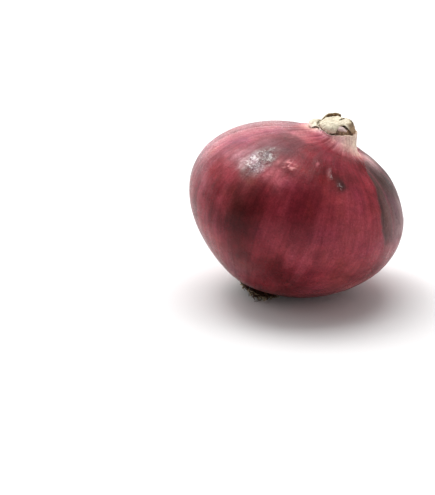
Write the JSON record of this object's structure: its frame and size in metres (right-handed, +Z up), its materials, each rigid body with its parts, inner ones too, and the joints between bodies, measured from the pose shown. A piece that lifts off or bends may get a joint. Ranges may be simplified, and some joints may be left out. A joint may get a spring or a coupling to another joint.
{
  "type": "shallot",
  "caption": "Whole shallot bulb in dark crimson papery skin, lying tilted on a small flat spot, with a short dry folded neck and dry root stubs.",
  "frame": {"origin": "middle of the model's box in X and Y, on the surface that the bulb rests on", "axes": "+Z up, away from the flat spot that it rests on; the bulb's own axis leans 22.5 degrees from +Z towards +X, so the neck is at +X and the roots at -X"},
  "size_m": [0.0484, 0.0486, 0.0407],
  "materials": {
    "bulb_skin": "thin dry papery skin, dark crimson, semi-gloss, with fine lengthwise veins",
    "neck_leaf_ivory": "dry crumpled leaf end, matt ivory",
    "neck_leaf_brown": "dry ragged leaf end, brown-edged, matt",
    "neck_leaf_pink": "dry rolled leaf tip, pale pink, matt",
    "root_wood": "rough, dark brown, matt",
    "root_fibre": "dry root fibre, dark brown with tan ends, matt"
  },
  "bodies": {
    "root": {"bulb": "bulb_skin", "neck_fold_front": "neck_leaf_ivory", "neck_fold_back": "neck_leaf_ivory", "neck_flap_left": "neck_leaf_ivory", "neck_fold_right": "neck_leaf_brown", "neck_roll": "neck_leaf_pink", "root_plate": "root_wood", "root_tuft": "root_fibre"}
  },
  "joints": []
}
